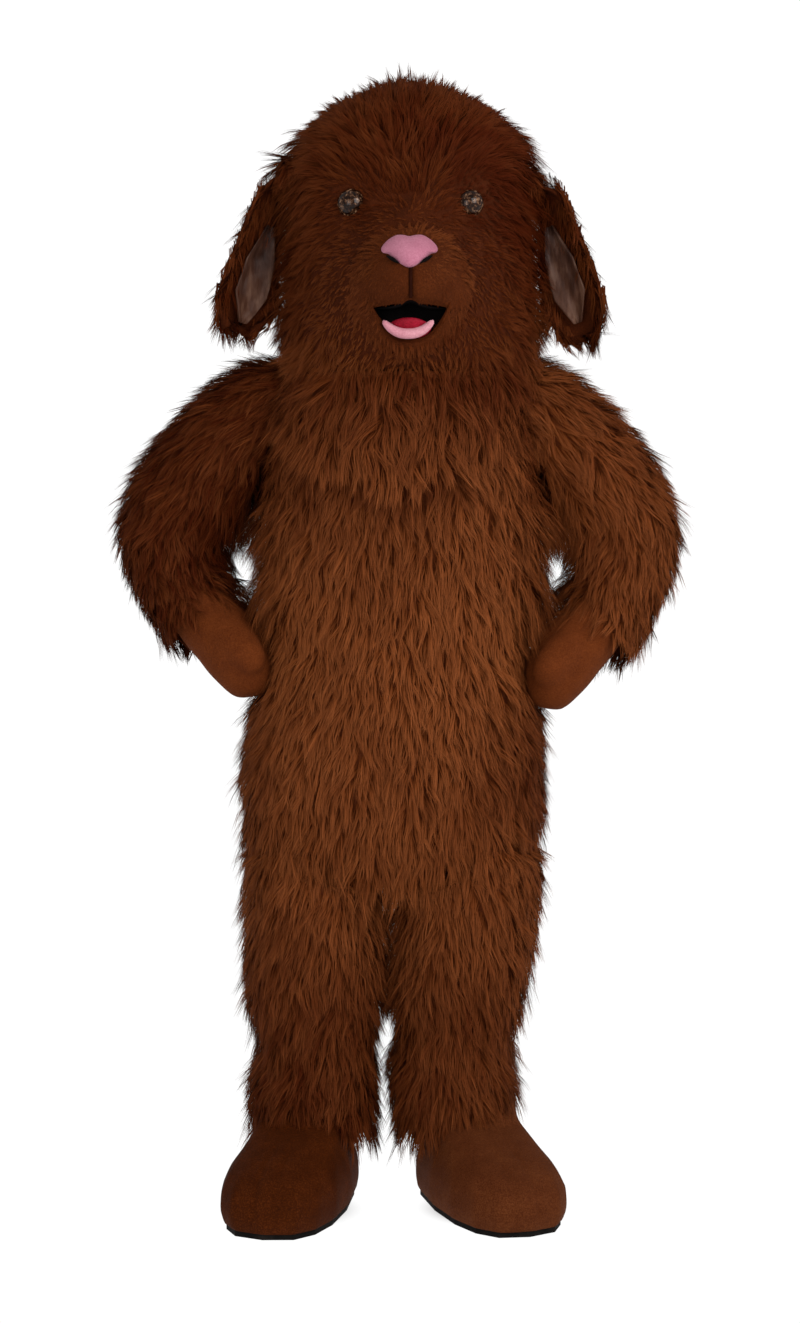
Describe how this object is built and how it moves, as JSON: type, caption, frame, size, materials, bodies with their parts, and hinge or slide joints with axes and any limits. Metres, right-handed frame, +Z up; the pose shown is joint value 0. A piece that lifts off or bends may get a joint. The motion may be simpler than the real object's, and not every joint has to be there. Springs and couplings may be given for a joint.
{
  "type": "lamb mascot costume, worn",
  "caption": "Hollow full-body fur costume of a lop-eared lamb with a foam headpiece, bib, mitts and plush feet, worn upright with hands on hips.",
  "frame": {"origin": "the point between the wearer's shoulders, where the worn costume is held up", "axes": "+Z up from the soles to the head, the costume faces -Y, the wearer's left side is +X"},
  "size_m": [0.9778, 0.5122, 1.895],
  "materials": {
    "fur": "long shaggy pile, about 40 mm, brown, lighter at the tips",
    "plush": "short smooth plush pile, brown",
    "ear_satin": "smooth greyish brown satin",
    "pink": "brushed pink felt",
    "tongue_red": "red felt",
    "black_felt": "matt black felt",
    "eye_gloss": "clear glossy dome over a dark brown pupil",
    "sole_rubber": "black, matt, fine grain",
    "zip_tape": "woven tape, closed"
  },
  "bodies": {
    "root": {"torso_front": "fur", "torso_back_left": "fur", "torso_back_right": "fur", "back_zip": "zip_tape", "sleeve_front_left": "fur", "sleeve_back_left": "fur", "leg_front_left": "fur", "leg_back_left": "fur", "mitt_back_left": "plush", "mitt_palm_left": "plush", "mitt_thumb_left": "plush", "boot_inner_left": "plush", "boot_outer_left": "plush", "boot_sole_left": "sole_rubber", "eye_left": "eye_gloss", "ear_left": "fur", "ear_lining_left": "ear_satin", "nostril_left": "black_felt", "sleeve_front_right": "fur", "sleeve_back_right": "fur", "leg_front_right": "fur", "leg_back_right": "fur", "mitt_back_right": "plush", "mitt_palm_right": "plush", "mitt_thumb_right": "plush", "boot_inner_right": "plush", "boot_outer_right": "plush", "boot_sole_right": "sole_rubber", "eye_right": "eye_gloss", "ear_right": "fur", "ear_lining_right": "ear_satin", "nostril_right": "black_felt", "head_face": "fur", "head_back": "fur", "bib_front": "fur", "bib_back": "fur", "muzzle": "plush", "nose": "pink", "philtrum": "black_felt", "mouth_lining": "black_felt", "tongue": "tongue_red", "lower_lip": "pink"}
  },
  "joints": []
}
